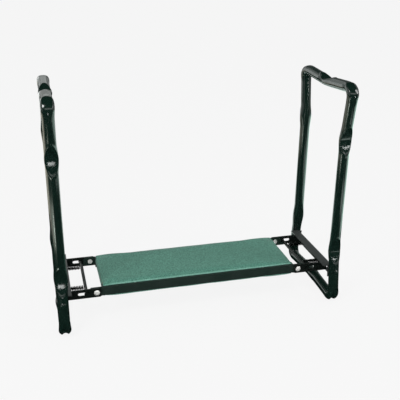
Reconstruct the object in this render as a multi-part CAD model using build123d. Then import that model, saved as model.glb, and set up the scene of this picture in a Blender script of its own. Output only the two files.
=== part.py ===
"""Folding garden kneeler bench: a padded platform between two looped tube frames that swing in over it.

Millimetres, +Z up, +X along the bench to its right end, -Y to the front.
The origin is on the floor under the middle of the bench, which stands in its kneeling position.
"""
import os
from cmath import exp, phase
from math import cos, pi, radians, sin, sqrt, tan

from build123d import *

# Tube of the side frames
TUBE_OD = 22.0
TUBE_WALL = 1.2
FRAME_BEYOND_PIVOT = 69.5
WAIST_Y = 98.5
FLARE_DEG = 8.2
LOWER_BEND_Z = 120.0
UPPER_BEND_Z = 368.0
GRIP_TOP_Z = 484.0
BAR_BEND_DEG = 8.0
CORNER_R = 15.0
BEND_R = 60.0

# Crushed bends: spread sideways, with a dent inside each slight bend and a crease outside each corner
BEND_REACH = 27.0
CORNER_REACH = 12.0
BEND_SPREAD = 2.2
CORNER_SPREAD = 1.6
BEND_FLATTEN = 1.0
CORNER_FLATTEN = 1.0
DENT_HALF_LENGTH = 34.0
DENT_RADIUS = 10.0
DENT_DEPTH = 4.6
CREASE_BEYOND_ARC = 4.5
CREASE_RADIUS = 6.0
CREASE_DEPTH = 3.0
CORNER_SETTLE = 0.469
BEND_SECTION_COUNT = 3
CORNER_SECTION_COUNT = 4

# Sleeve joint of handle tube and foot tube, with the rivet that also holds the cross angle
RIVET_Z = 73.0
SLEEVE_BELOW_RIVET = 15.0
SPIGOT_LENGTH = 28.0
SLEEVE_CLEARANCE = 0.1
LEG_RIVET_D = 5.0
LEG_RIVET_HEAD_D = 10.0
LEG_RIVET_HEAD_H = 2.0
LEG_RIVET_TAIL_D = 8.0
LEG_RIVET_TAIL_H = 1.6
LEG_RIVET_TAIL_ROOM = 1.0
RIVET_HOLE_CLEARANCE = 0.1

# Seat rails, board and pads
RAIL_TOP_Z = 81.0
RAIL_HEIGHT = 21.0
RAIL_SHEET = 1.5
RAIL_FLANGE = 12.0
RAIL_Y = 70.0
RAIL_HALF_LENGTH = 209.0
BOARD_END_INSET = 3.0
BOARD_CLEARANCE = 0.1
PAD_END_INSET = 1.0
PAD_SIDE_INSET = 0.5
PAD_EDGE = 2.5
PAD_CROWN = 3.0
PAD_END_DROP = 4.0
PAD_END_RUN = 26.0
SCREW_XS = (-140.0, 140.0)
SCREW_D = 4.0
SCREW_HEAD_D = 7.5
SCREW_LENGTH = 9.0

# Hinge pivots
PIVOT_BEYOND_RAIL = 10.5
PIVOT_D = 7.0
PIVOT_HEAD_D = 11.5
PIVOT_HEAD_H = 2.4
PIVOT_TAIL_D = 10.0
PIVOT_TAIL_H = 1.6
PIVOT_CLEARANCE = 0.05
WASHER_D = 16.0
WASHER_T = 1.0
FACE_CLEARANCE = 0.05

# End brackets: two arms and the cross angle between the legs
ARM_HEIGHT = 20.0
ARM_SHEET = 2.5
ARM_BEYOND_PIVOT = 8.5
ARM_CORNER_R = 2.5
ANGLE_SHEET = 2.0
ANGLE_FLANGE = 19.0
ANGLE_DROP = 25.0
ANGLE_BEYOND_FRAME = 0.5
TAB_WIDTH = 18.0

# Spring lock: a rod across both arms that two springs push into the rails' hooks
LOCK_FROM_PIVOT = 20.5
LOCK_TRAVEL = 14.0
LOCK_ROD_D = 6.5
LOCK_ROD_OVERHANG = 2.6
SLOT_CLEARANCE = 0.25
CLIP_D = 10.0
CLIP_T = 0.8
HOOK_BEYOND_ROD = 3.5
HOOK_CLEARANCE = 0.4
TONGUE_R = 15.5
SPRING_WIRE_D = 1.2
SPRING_OD = 9.0
SPRING_TURNS = 13
SPRING_INSET = 26.5
GUIDE_PIN_D = 4.0
GUIDE_HEAD_D = 7.0
GUIDE_HEAD_H = 1.4
GUIDE_END_CLEARANCE = 1.5
SPRING_END_TURN_DEG = 75.0
SPRING_END_RUN = 2.4
SPRING_SEAT_GAP = 0.1

# Sizes that follow from the ones above
TUBE_R = TUBE_OD / 2
FLARE = radians(FLARE_DEG)
HALF_BAR_BEND = radians(BAR_BEND_DEG) / 2
PIVOT_X = RAIL_HALF_LENGTH + PIVOT_BEYOND_RAIL
PIVOT_Z = RAIL_TOP_Z - RAIL_HEIGHT / 2
FRAME_X = PIVOT_X + FRAME_BEYOND_PIVOT
BOARD_HALF_LENGTH = RAIL_HALF_LENGTH - BOARD_END_INSET
PAD_HALF_LENGTH = RAIL_HALF_LENGTH - PAD_END_INSET
WEB_IN_Y = RAIL_Y - RAIL_SHEET
ARM_IN_Y = RAIL_Y + WASHER_T + 2 * FACE_CLEARANCE
ARM_OUT_Y = ARM_IN_Y + ARM_SHEET
ARM_TOP_Z = PIVOT_Z + ARM_HEIGHT / 2
ARM_END_X = PIVOT_X - ARM_BEYOND_PIVOT
ANGLE_OUT_X = FRAME_X + ANGLE_BEYOND_FRAME
ANGLE_IN_X = ANGLE_OUT_X - ANGLE_SHEET
ANGLE_TOP_Z = ARM_TOP_Z + ANGLE_SHEET
LOCK_X = PIVOT_X + LOCK_FROM_PIVOT
LOCK_R = LOCK_ROD_D / 2
SPRING_Y = ARM_IN_Y - SPRING_INSET
SPRING_MEAN_R = (SPRING_OD - SPRING_WIRE_D) / 2


# Frame outline: a point (y, z) on the tube's axis is the complex number y + z*1j, on the front half
def leg_point(z):
    """Axis of the front leg at a height, on its waist or on a flare."""
    beyond = max(z - UPPER_BEND_Z, LOWER_BEND_Z - z, 0.0)
    return complex(-WAIST_Y - beyond * tan(FLARE), z)


def bar_points(bend_z, extreme_z, way):
    """Corner and middle of a cross bar whose rounded corner just reaches extreme_z."""
    centre_z = extreme_z - way * (TUBE_R + CORNER_R)
    centre_y = WAIST_Y + way * (centre_z - bend_z) * tan(FLARE) - CORNER_R / cos(FLARE)
    middle_z = centre_z + way * (CORNER_R / cos(HALF_BAR_BEND) - centre_y * tan(HALF_BAR_BEND))
    corner_y = WAIST_Y + way * (middle_z - bend_z) * tan(FLARE)
    corner_y = corner_y / (1 - tan(HALF_BAR_BEND) * tan(FLARE))
    corner_z = middle_z + way * corner_y * tan(HALF_BAR_BEND)
    return complex(-corner_y, corner_z), complex(0.0, middle_z)


RIVET_POINT = leg_point(RIVET_Z)
LEG_UP = complex(sin(FLARE), cos(FLARE))
SLEEVE_POINT = RIVET_POINT - SLEEVE_BELOW_RIVET * LEG_UP
GRIP_CORNER, GRIP_MIDDLE = bar_points(UPPER_BEND_Z, GRIP_TOP_Z + CORNER_SETTLE, 1)
FOOT_CORNER, FOOT_MIDDLE = bar_points(LOWER_BEND_Z, -CORNER_SETTLE, -1)


class Bend:
    """One rounded bend of the tube: where its axis runs and how far it is crushed."""

    def __init__(self, before, vertex, after, corner=False):
        self.radius = CORNER_R if corner else BEND_R
        self.spread = CORNER_SPREAD if corner else BEND_SPREAD
        self.flatten = CORNER_FLATTEN if corner else BEND_FLATTEN
        self.fold_depth = CREASE_DEPTH if corner else DENT_DEPTH
        self.corner = corner
        self.vertex = vertex
        self.way_in = (vertex - before) / abs(vertex - before)
        self.way_out = (after - vertex) / abs(after - vertex)
        turn = phase(self.way_out / self.way_in)
        self.side = 1 if turn > 0 else -1
        self.half_arc = self.radius * abs(turn) / 2
        self.tangent_length = self.radius * tan(abs(turn) / 2)
        run_in = abs(vertex - before) / (1 if before == SLEEVE_POINT else 2)
        room = min(run_in, abs(after - vertex) / 2) - self.tangent_length - TUBE_WALL
        self.half_length = self.half_arc + min(CORNER_REACH if corner else BEND_REACH, room)

    def at(self, s):
        """Point and direction of the axis, s along it from the middle of the bend."""
        beyond = abs(s) - self.half_arc + self.tangent_length
        if s <= -self.half_arc:
            return self.vertex - self.way_in * beyond, self.way_in
        if s >= self.half_arc:
            return self.vertex + self.way_out * beyond, self.way_out
        ahead = self.way_in * exp(1j * self.side * (s + self.half_arc) / self.radius)
        start = self.vertex - self.way_in * self.tangent_length
        centre = start + 1j * self.side * self.radius * self.way_in
        return centre - 1j * self.side * self.radius * ahead, ahead

    def solid(self, skin, half=False):
        """The crushed length of tube; with a skin it is the bore, which keeps clear of the fold."""
        steps = CORNER_SECTION_COUNT if self.corner else BEND_SECTION_COUNT
        radius = TUBE_R - skin
        fold = self.fold_depth if skin else 0.0
        sections = []
        for step in range(-steps, 1 if half else steps + 1):
            point, ahead = self.at(self.half_length * step / steps)
            bulge = cos(pi / 2 * step / steps) ** 2
            middle = point - self.fold_way(ahead) * bulge * fold / 2
            oval = Ellipse(radius + self.spread * bulge, radius - bulge * (self.flatten + fold / 2))
            sections.append(across(middle, ahead) * (Circle(radius) if abs(step) == steps else oval))
        return loft(sections)

    def fold_way(self, ahead):
        """Direction from the axis to the folded side."""
        inward = 1j * self.side * ahead
        return -inward if self.corner else inward

    def fold_cutter(self):
        """Cutter of the fold."""
        point, ahead = self.at(0.0)
        fold_way = self.fold_way(ahead)
        floor = TUBE_R - self.flatten - self.fold_depth
        if self.corner:
            return self.crease(point - fold_way * self.radius, fold_way, self.radius + floor)
        return spindle(point + fold_way * (floor + DENT_RADIUS), ahead)

    def crease(self, centre, outward, floor):
        """Ring that cuts a groove over the corner's outer side and leaves the tube just beyond the arc."""
        half_turn = self.half_arc / self.radius
        outside = self.radius + TUBE_R
        closing = floor - outside * cos(half_turn) + CREASE_BEYOND_ARC * sin(half_turn)
        behind = (outside**2 + CREASE_BEYOND_ARC**2 - floor**2) / (2 * closing)
        middle = centre - outward * behind
        seam = (0, -outward.real, -outward.imag)
        place = Plane((FRAME_X, middle.real, middle.imag), x_dir=seam, z_dir=(1, 0, 0))
        return place.location * Torus(behind + floor + CREASE_RADIUS, CREASE_RADIUS)


def across(point, ahead):
    """Plane square to the tube at a point of its axis, with X along the bench."""
    return Plane((FRAME_X, point.real, point.imag), x_dir=(1, 0, 0), z_dir=(0, ahead.real, ahead.imag))


def spindle(point, along):
    """Pointed spindle lying along the tube, which cuts a long dent."""
    ends = [(-DENT_HALF_LENGTH, 0), (DENT_HALF_LENGTH, 0)]
    bow = Bezier(ends[0], (0, 2 * DENT_RADIUS), ends[1])
    solid = revolve(make_face([bow, Line(ends[1], ends[0])]), axis=Axis.X)
    place = Plane((FRAME_X, point.real, point.imag), x_dir=(0, along.real, along.imag), z_dir=(1, 0, 0))
    return place.location * solid


def straight(start, end, radius):
    """Straight length of round bar from one axis point to another."""
    return extrude(across(start, (end - start) / abs(end - start)) * Circle(radius), abs(end - start))


def tube_form(start, bends, skin, end_gap=0.0):
    """Outer form of a tube loop, or its bore when skin is the wall, from both ends to the middle."""
    pieces = []
    last = start + end_gap * bends[0].way_in
    for bend in bends:
        middle = bend is bends[-1]
        pieces.append(straight(last, bend.at(-bend.half_length)[0], TUBE_R - skin))
        crushed = bend.solid(skin, half=middle)
        pieces.append(crushed if skin else crushed - bend.fold_cutter())
        last = bend.at(bend.half_length)[0]
    front_half = Part() + pieces
    return front_half + mirror(front_half, about=Plane.XZ)


def mirrored(point):
    """The same axis point on the rear half."""
    return complex(-point.real, point.imag)


def handle_tube():
    """Upper loop of a side frame: both legs and the grip bar, open at its lower ends."""
    lower = leg_point(LOWER_BEND_Z)
    upper = leg_point(UPPER_BEND_Z)
    bends = [
        Bend(SLEEVE_POINT, lower, upper),
        Bend(lower, upper, GRIP_CORNER),
        Bend(upper, GRIP_CORNER, GRIP_MIDDLE, corner=True),
        Bend(GRIP_CORNER, GRIP_MIDDLE, mirrored(GRIP_CORNER)),
    ]
    tube = tube_form(SLEEVE_POINT, bends, 0.0) - tube_form(SLEEVE_POINT, bends, TUBE_WALL)
    return tube - leg_rivet_holes()


def foot_tube():
    """Lower loop of a side frame: the foot bar, with spigots that plug into the handle tube."""
    bends = [
        Bend(SLEEVE_POINT, FOOT_CORNER, FOOT_MIDDLE, corner=True),
        Bend(FOOT_CORNER, FOOT_MIDDLE, mirrored(FOOT_CORNER)),
    ]
    spigot_r = TUBE_R - TUBE_WALL - SLEEVE_CLEARANCE
    spigot_end = SLEEVE_POINT + SPIGOT_LENGTH * LEG_UP
    bore_start = SLEEVE_POINT - 2 * TUBE_WALL * LEG_UP
    spigot = straight(SLEEVE_POINT, spigot_end, spigot_r)
    bore = straight(bore_start, spigot_end, spigot_r - TUBE_WALL)
    outside = tube_form(SLEEVE_POINT, bends, 0.0) + [spigot, mirror(spigot, about=Plane.XZ)]
    inside = tube_form(SLEEVE_POINT, bends, TUBE_WALL, end_gap=TUBE_WALL)
    inside = inside + [bore, mirror(bore, about=Plane.XZ)]
    return outside - inside - leg_rivet_holes()


# Rivets through the legs, on an axis square to the flared leg
def leg_rivet_plane():
    """Plane in the front leg's axis at the rivet, facing out of the frame."""
    origin = (FRAME_X, RIVET_POINT.real, RIVET_POINT.imag)
    return Plane(origin, x_dir=(1, 0, 0), z_dir=(0, -cos(FLARE), sin(FLARE)))


def on_both_legs(solid):
    """A front leg solid and its twin on the rear leg."""
    return [solid, mirror(solid, about=Plane.XZ)]


def button(diameter, height):
    """Domed rivet head on the XY plane."""
    radius = diameter / 2
    ball = (radius**2 + height**2) / (2 * height)
    shoulder = (ball * sin(pi / 8), ball * cos(pi / 8) - ball + height)
    dome = ThreePointArc((radius, 0), shoulder, (0, height))
    profile = make_face([dome, Line((0, height), (0, 0)), Line((0, 0), (radius, 0))])
    return revolve(Plane.XZ * profile, axis=Axis.Z)


def leg_rivet_holes():
    """Cutters of the rivet holes through both legs."""
    radius = LEG_RIVET_D / 2 + RIVET_HOLE_CLEARANCE
    hole = extrude(leg_rivet_plane() * Circle(radius), 2 * TUBE_OD, both=True)
    return on_both_legs(hole)


def leg_rivets():
    """Domed rivets through both tubes and the cross angle's tab, their heads shaped to the leg."""
    plane = leg_rivet_plane()
    tail_z = -(TUBE_R + FACE_CLEARANCE + ANGLE_SHEET)
    skirt_z = sqrt(TUBE_R**2 - (LEG_RIVET_HEAD_D / 2) ** 2)
    shank = extrude(plane.offset(tail_z) * Circle(LEG_RIVET_D / 2), TUBE_R - tail_z)
    tail = extrude(plane.offset(tail_z) * Circle(LEG_RIVET_TAIL_D / 2), -LEG_RIVET_TAIL_H)
    skirt = extrude(plane.offset(skirt_z) * Circle(LEG_RIVET_HEAD_D / 2), TUBE_R - skirt_z)
    dome = plane.offset(TUBE_R).location * button(LEG_RIVET_HEAD_D, LEG_RIVET_HEAD_H)
    leg_end = TUBE_OD * LEG_UP
    leg = straight(RIVET_POINT - leg_end, RIVET_POINT + leg_end, TUBE_R + FACE_CLEARANCE)
    return on_both_legs(skirt - leg + dome + shank + tail)


# Seat: two channel rails that hold a board, with a pad on each face
def front_plate(outline, y_outside, thickness):
    """Upright sheet drawn in X and Z, its outer face at the front of the bench."""
    return extrude(Plane((0, -y_outside, 0), x_dir=(1, 0, 0), z_dir=(0, -1, 0)) * outline, -thickness)


def front_bar(x, diameter, y_from, y_to):
    """Round bar along Y at pivot height, between two distances in front of the middle."""
    plane = Plane((x, -y_from, PIVOT_Z), x_dir=(1, 0, 0), z_dir=(0, -1, 0))
    return extrude(plane * Circle(diameter / 2), y_to - y_from)


def half_turned(solid):
    """The same solid turned half round the bench's upright middle axis."""
    return Rot(0, 0, 180) * solid


def both_ends(solid):
    """A right end solid and its twin at the left end."""
    return [solid, mirror(solid, about=Plane.YZ)]


def tongue_outline():
    """End of the rail's web: round over the pivot, with the hook's jaw under the lock rod."""
    low = PIVOT_Z - RAIL_HEIGHT / 2
    jaw_top = PIVOT_Z - LOCK_R - HOOK_CLEARANCE
    jaw_end = LOCK_X + HOOK_BEYOND_ROD
    high = PIVOT_Z + RAIL_HEIGHT / 2
    rounded = rectangle((RAIL_HALF_LENGTH, low), (jaw_end, high)) & (Pos(PIVOT_X, PIVOT_Z) * Circle(TONGUE_R))
    root = rectangle((RAIL_HALF_LENGTH, low), (PIVOT_X, high))
    return rounded + root + rectangle((PIVOT_X, low), (jaw_end, jaw_top))


def rectangle(low, high):
    """Rectangle between two corners."""
    return Pos((low[0] + high[0]) / 2, (low[1] + high[1]) / 2) * Rectangle(high[0] - low[0], high[1] - low[1])


def screw_places():
    """Where the flange screws stand on the front rail, with the way each one points out."""
    y = -(RAIL_Y - RAIL_FLANGE / 2)
    above = [Plane((x, y, RAIL_TOP_Z), z_dir=(0, 0, 1)) for x in SCREW_XS]
    below = [Plane((x, y, RAIL_TOP_Z - RAIL_HEIGHT), z_dir=(0, 0, -1)) for x in SCREW_XS]
    return above + below


def flange_screw(clearance):
    """Countersunk screw with its head flush in the flange, on the XY plane."""
    shank_r = SCREW_D / 2 + clearance
    head_r = SCREW_HEAD_D / 2 + clearance
    hanging = (Align.CENTER, Align.CENTER, Align.MAX)
    shank = Cylinder(shank_r, SCREW_LENGTH + clearance, align=hanging)
    return shank + Cone(shank_r, head_r, head_r - shank_r, align=hanging)


def screws_on_front(clearance=0.0):
    """All flange screws of the front rail, or the cutters of their holes."""
    return [place.location * flange_screw(clearance) for place in screw_places()]


def front_rail():
    """Channel rail open to the middle, its web running on at both ends as tongue and hook."""
    outline = Pos(-(RAIL_Y - RAIL_FLANGE / 2), PIVOT_Z) * Rectangle(RAIL_FLANGE, RAIL_HEIGHT)
    outline = fillet(outline.vertices().sort_by(Axis.X)[:2], RAIL_SHEET)
    hollow_height = RAIL_HEIGHT - 2 * RAIL_SHEET
    hollow = Pos(-(WEB_IN_Y - RAIL_FLANGE / 2), PIVOT_Z) * Rectangle(RAIL_FLANGE, hollow_height)
    channel = extrude(Plane.YZ * (outline - hollow), RAIL_HALF_LENGTH, both=True)
    tongue = front_plate(tongue_outline(), RAIL_Y, RAIL_SHEET)
    hole = front_bar(PIVOT_X, PIVOT_D + 2 * PIVOT_CLEARANCE, 0, RAIL_Y + RAIL_SHEET)
    return channel + both_ends(tongue) - both_ends(hole) - screws_on_front(BOARD_CLEARANCE)


def seat_board():
    """Board between the rails, drilled for the flange screws."""
    width = 2 * (WEB_IN_Y - BOARD_CLEARANCE)
    thickness = RAIL_HEIGHT - 2 * RAIL_SHEET - 2 * BOARD_CLEARANCE
    board = Pos(0, 0, PIVOT_Z) * Box(2 * BOARD_HALF_LENGTH, width, thickness)
    holes = screws_on_front(BOARD_CLEARANCE)
    return board - holes - [half_turned(hole) for hole in holes]


def kneeling_pad():
    """Foam pad over the board and the upper flanges, crowned across and rounded down at its ends."""
    half_width = RAIL_Y - PAD_SIDE_INSET
    inner = RAIL_Y - RAIL_FLANGE - PAD_SIDE_INSET
    floor_z = RAIL_TOP_Z - RAIL_SHEET
    side_z = RAIL_TOP_Z + PAD_EDGE
    top_z = side_z + PAD_CROWN
    seat = RAIL_TOP_Z + FACE_CLEARANCE
    across_pad = make_face([
        ThreePointArc((half_width, side_z), (0, top_z), (-half_width, side_z)),
        Polyline((-half_width, side_z), (-half_width, seat), (-inner, seat), (-inner, floor_z),
                 (inner, floor_z), (inner, seat), (half_width, seat), (half_width, side_z)),
    ])
    end_z = top_z - PAD_END_DROP
    bow_x = PAD_HALF_LENGTH - PAD_END_RUN
    bow_r = (PAD_END_RUN**2 + PAD_END_DROP**2) / (2 * PAD_END_DROP)
    mid_x = PAD_END_RUN / 2
    mid_z = top_z - bow_r + sqrt(bow_r**2 - mid_x**2)
    along_pad = make_face([
        Line((-bow_x, top_z), (bow_x, top_z)),
        ThreePointArc((bow_x, top_z), (bow_x + mid_x, mid_z), (PAD_HALF_LENGTH, end_z)),
        Polyline((PAD_HALF_LENGTH, end_z), (PAD_HALF_LENGTH, floor_z), (-PAD_HALF_LENGTH, floor_z),
                 (-PAD_HALF_LENGTH, end_z)),
        ThreePointArc((-PAD_HALF_LENGTH, end_z), (-bow_x - mid_x, mid_z), (-bow_x, top_z)),
    ])
    long_form = extrude(Plane.YZ * across_pad, PAD_HALF_LENGTH, both=True)
    return long_form & extrude(Plane.XZ * along_pad, half_width, both=True)


def sitting_pad():
    """The same pad on the under side, which is the seat when the bench is turned over."""
    return mirror(kneeling_pad(), about=Plane.XY.offset(PIVOT_Z))


# Hinges at the right end, front side
def front_pivot_rivet():
    """Rivet through arm, washer and tongue: domed head outside, flat tail inside."""
    head_y = ARM_OUT_Y + FACE_CLEARANCE
    tail_y = WEB_IN_Y - FACE_CLEARANCE
    head_plane = Plane((PIVOT_X, -head_y, PIVOT_Z), x_dir=(1, 0, 0), z_dir=(0, -1, 0))
    shank = front_bar(PIVOT_X, PIVOT_D, tail_y, head_y)
    tail = front_bar(PIVOT_X, PIVOT_TAIL_D, tail_y - PIVOT_TAIL_H, tail_y)
    return shank + tail + head_plane.location * button(PIVOT_HEAD_D, PIVOT_HEAD_H)


def front_washer():
    """Flat washer between tongue and arm."""
    inside = RAIL_Y + FACE_CLEARANCE
    disc = front_bar(PIVOT_X, WASHER_D, inside, inside + WASHER_T)
    return disc - front_bar(PIVOT_X, PIVOT_D + 2 * PIVOT_CLEARANCE, 0, ARM_IN_Y)


# End bracket and spring lock at the right end
def front_arm():
    """Flat arm from the pivot to the cross angle, slotted for the lock rod."""
    length = ANGLE_IN_X - ARM_END_X
    outline = Pos(ARM_END_X + length / 2, PIVOT_Z) * Rectangle(length, ARM_HEIGHT)
    outline = fillet(outline.vertices().sort_by(Axis.X)[:2], ARM_CORNER_R)
    slot_width = LOCK_ROD_D + 2 * SLOT_CLEARANCE
    slot_middle = LOCK_X + LOCK_TRAVEL / 2
    slot = Pos(slot_middle, PIVOT_Z) * SlotCenterToCenter(LOCK_TRAVEL + 2 * SLOT_CLEARANCE, slot_width)
    hole = Pos(PIVOT_X, PIVOT_Z) * Circle(PIVOT_D / 2 + PIVOT_CLEARANCE)
    return front_plate(outline - slot - hole, ARM_OUT_Y, ARM_SHEET)


def cross_angle():
    """Angle between the legs, with an end tab bent to lie along each leg."""
    reach = abs(SLEEVE_POINT.real)
    low = ANGLE_TOP_Z - ANGLE_DROP
    flange_x = ANGLE_OUT_X - ANGLE_FLANGE / 2
    flange = Pos(flange_x, 0, ARM_TOP_Z + ANGLE_SHEET / 2) * Box(ANGLE_FLANGE, 2 * reach, ANGLE_SHEET)
    drop_x = ANGLE_OUT_X - ANGLE_SHEET / 2
    drop = Pos(drop_x, 0, ANGLE_TOP_Z - ANGLE_DROP / 2) * Box(ANGLE_SHEET, 2 * reach, ANGLE_DROP)
    leg_side = leg_rivet_plane().offset(-TUBE_R - FACE_CLEARANCE)
    rivet_side = leg_side.offset(-ANGLE_SHEET - LEG_RIVET_TAIL_H - LEG_RIVET_TAIL_ROOM)
    beyond_leg, beyond_rivet = (
        on_both_legs(extrude(side * Rectangle(4 * ANGLE_FLANGE, 4 * ANGLE_DROP), 2 * TUBE_OD))
        for side in (leg_side, rivet_side)
    )
    tab_middle = ((low + ANGLE_TOP_Z) / 2 - RIVET_Z) / cos(FLARE)
    tab = extrude(leg_side * Pos(0, tab_middle) * Rectangle(TAB_WIDTH, ANGLE_DROP), -ANGLE_SHEET)
    pin_hole_d = GUIDE_PIN_D + 2 * RIVET_HOLE_CLEARANCE
    pin_hole = guide_bar(pin_hole_d, ANGLE_IN_X - ANGLE_SHEET, ANGLE_OUT_X + ANGLE_SHEET)
    angle = (flange - beyond_leg) + (drop - beyond_rivet) + on_both_legs(tab)
    return angle - leg_rivet_holes() - on_both_legs(pin_hole)


def guide_bar(diameter, x_from, x_to):
    """Round bar along X on the front spring's axis."""
    plane = Plane((x_from, -SPRING_Y, PIVOT_Z), x_dir=(0, 1, 0), z_dir=(1, 0, 0))
    return extrude(plane * Circle(diameter / 2), x_to - x_from)


def front_guide_pin():
    """Pin inside the spring, headed over outside the cross angle."""
    free_end = LOCK_X + LOCK_TRAVEL + LOCK_R + GUIDE_END_CLEARANCE
    head_plane = Plane((ANGLE_OUT_X + FACE_CLEARANCE, -SPRING_Y, PIVOT_Z), x_dir=(0, 1, 0), z_dir=(1, 0, 0))
    pin = guide_bar(GUIDE_PIN_D, free_end, ANGLE_OUT_X + FACE_CLEARANCE)
    return pin + head_plane.location * button(GUIDE_HEAD_D, GUIDE_HEAD_H)


def lock_rod():
    """Rod across both arms, sliding in their slots."""
    half = ARM_OUT_Y + LOCK_ROD_OVERHANG
    return front_bar(LOCK_X, LOCK_ROD_D, -half, half)


def front_rod_clip():
    """Push-on clip that keeps the rod's end in the arm."""
    inside = ARM_OUT_Y + 2 * FACE_CLEARANCE
    bore = front_bar(LOCK_X, LOCK_ROD_D + FACE_CLEARANCE, 0, 2 * ARM_OUT_Y)
    return front_bar(LOCK_X, CLIP_D, inside, inside + CLIP_T) - bore


# Compression spring: a helix on pairs of tangent arcs, with straight ends square to their seats
def biarc(start, start_way, end, end_way):
    """Two arcs from start to end that leave and arrive in the given directions."""
    chord = end - start
    ways = start_way + end_way
    bend = ways.dot(ways) - 4
    span = chord.dot(ways)
    reach = (span - sqrt(span**2 - bend * chord.dot(chord))) / bend
    joint = (start + start_way * reach + end - end_way * reach) * 0.5
    return [Edge.make_tangent_arc(start, start_way, joint), Edge.make_tangent_arc(end, -end_way, joint)]


def front_spring():
    """Spring from the cross angle to the lock rod, on the front arm's inner side."""
    seat_x = ANGLE_IN_X - FACE_CLEARANCE
    rod_x = LOCK_X + LOCK_R + SPRING_SEAT_GAP
    coil_from = seat_x - SPRING_WIRE_D - SPRING_END_RUN
    coil_to = rod_x + SPRING_WIRE_D + SPRING_END_RUN
    end_turn = radians(SPRING_END_TURN_DEG)
    turn_from, turn_to = end_turn, 2 * pi * SPRING_TURNS - end_turn
    fall = (coil_from - coil_to) / (turn_to - turn_from)

    def place(angle, x):
        return Vector(x, SPRING_MEAN_R * cos(angle) - SPRING_Y, SPRING_MEAN_R * sin(angle) + PIVOT_Z)

    def on_coil(angle):
        way = Vector(-fall, -SPRING_MEAN_R * sin(angle), SPRING_MEAN_R * cos(angle)).normalized()
        return place(angle, coil_from - fall * (angle - turn_from)), way

    inward = Vector(-1, 0, 0)
    spans = 2 * SPRING_TURNS
    stations = [on_coil(turn_from + (turn_to - turn_from) * k / spans) for k in range(spans + 1)]
    stations.insert(0, (place(0, seat_x - SPRING_WIRE_D), inward))
    stations.append((place(0, rod_x + SPRING_WIRE_D), inward))
    edges = [Edge.make_line(place(0, seat_x), stations[0][0])]
    for (start, start_way), (end, end_way) in zip(stations, stations[1:]):
        edges += biarc(start, start_way, end, end_way)
    edges.append(Edge.make_line(stations[-1][0], place(0, rod_x)))
    section = Plane(place(0, seat_x), x_dir=(0, 1, 0), z_dir=inward) * Circle(SPRING_WIRE_D / 2)
    gap = least_gap(edges, pi * SPRING_MEAN_R) - SPRING_WIRE_D
    print("spring least gap to itself", round(gap, 2))
    return sweep(section, path=Wire(edges))


def least_gap(edges, apart):
    """Least distance between points of a path that lie further apart than a given length along it."""
    points = [edge @ (k / 6) for edge in edges for k in range(6)]
    run = [0.0]
    for before, after in zip(points, points[1:]):
        run.append(run[-1] + (after - before).length)
    pairs = [(a, b) for a in range(len(points)) for b in range(a) if run[a] - run[b] > apart]
    return min((points[a] - points[b]).length for a, b in pairs)


def group(solids):
    """Separate solids kept together in one node."""
    return Compound(children=list(solids))


def right_end_nodes():
    """Every piece of the right end bracket, named without its side."""
    arm, spring = front_arm(), front_spring()
    return {
        "handle_tube": handle_tube(),
        "foot_tube": foot_tube(),
        "cross_angle": cross_angle(),
        "front_arm": arm,
        "rear_arm": mirror(arm, about=Plane.XZ),
        "leg_rivets": group(leg_rivets()),
        "guide_pins": group(on_both_legs(front_guide_pin())),
        "front_spring": spring,
        "rear_spring": Pos(0, 2 * SPRING_Y, 0) * spring,
        "lock_rod": lock_rod(),
        "rod_clips": group(on_both_legs(front_rod_clip())),
        "pivot_rivets": group(on_both_legs(front_pivot_rivet())),
        "pivot_washers": group(on_both_legs(front_washer())),
    }


def all_nodes():
    """Every node of the bench by name."""
    rail = front_rail()
    screws = screws_on_front()
    nodes = {
        "front_rail": rail,
        "rear_rail": half_turned(rail),
        "seat_board": seat_board(),
        "kneeling_pad": kneeling_pad(),
        "sitting_pad": sitting_pad(),
        "board_screws": group(screws + [half_turned(screw) for screw in screws]),
    }
    for name, solid in right_end_nodes().items():
        nodes["right_" + name] = solid
        nodes["left_" + across_bench(name)] = half_turned(solid)
    return nodes


def across_bench(name):
    """Name of a right end piece once it is turned half round: front becomes rear."""
    if name.startswith("front_"):
        return name.replace("front_", "rear_")
    return name.replace("rear_", "front_")


os.makedirs("parts", exist_ok=True)
for name, solid in all_nodes().items():
    export_step(solid, os.path.join("parts", name + ".step"))
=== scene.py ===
# %% [markdown]
# # A folding garden kneeler bench
# The bench is a low padded platform between two looped frames of bent steel tube. The CAD model fixes every
# size and every joint. This notebook dresses it: it loads that model as a frame, builds the pieces whose
# surface the solids only sketch (crushed bends, padded cover, springs), and gives each piece its finish.

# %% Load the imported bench
from cmath import phase
from math import cos, pi, radians, sin, tan

import bmesh
import bpy
from mathutils import Matrix, Vector, noise


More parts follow.
